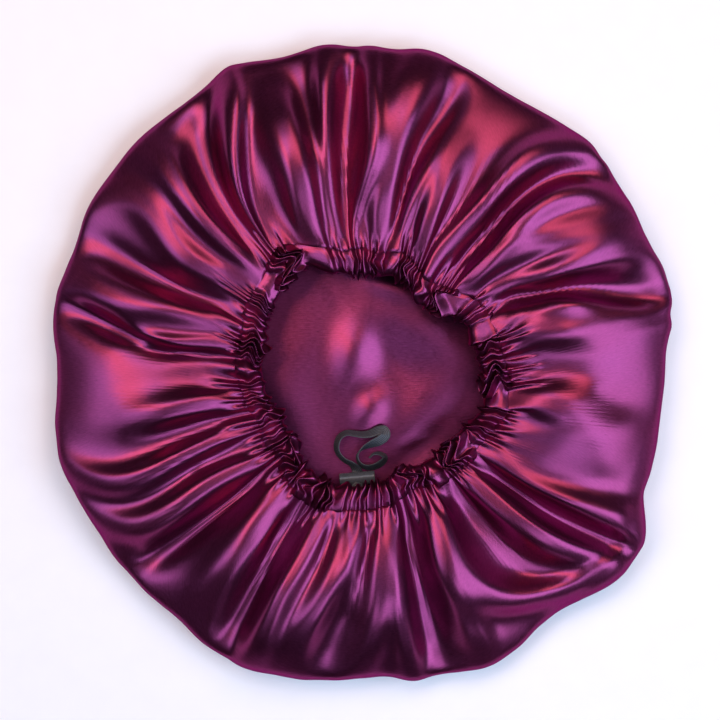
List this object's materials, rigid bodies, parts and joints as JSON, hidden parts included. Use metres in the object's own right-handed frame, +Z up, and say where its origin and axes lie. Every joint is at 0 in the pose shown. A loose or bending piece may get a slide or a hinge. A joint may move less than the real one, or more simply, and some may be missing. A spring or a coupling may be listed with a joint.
{
  "type": "sleep bonnet",
  "caption": "Round double-layer satin sleep bonnet lying crown down, gathered onto an elastic casing round its mouth, with the elastic's free end and its stopper lying in the mouth.",
  "frame": {"origin": "on the surface that the bonnet lies on, under the middle of the box round it", "axes": "+Z up from the crown, which lies on the surface, to the mouth; -Y towards the side of the mouth where the elastic comes out; +X to the right of that"},
  "size_m": [0.3616, 0.3694, 0.049],
  "materials": {
    "satin": "plum polyester satin, high sheen, fine weave",
    "elastic": "black braided flat elastic, ribbed along its length",
    "stopper": "black moulded plastic, semi-gloss"
  },
  "bodies": {
    "root": {"outer_satin": "satin", "lining_satin": "satin", "gathered_casing": "satin", "elastic_ring": "elastic", "elastic_tail": "elastic", "stopper": "stopper"}
  },
  "joints": []
}
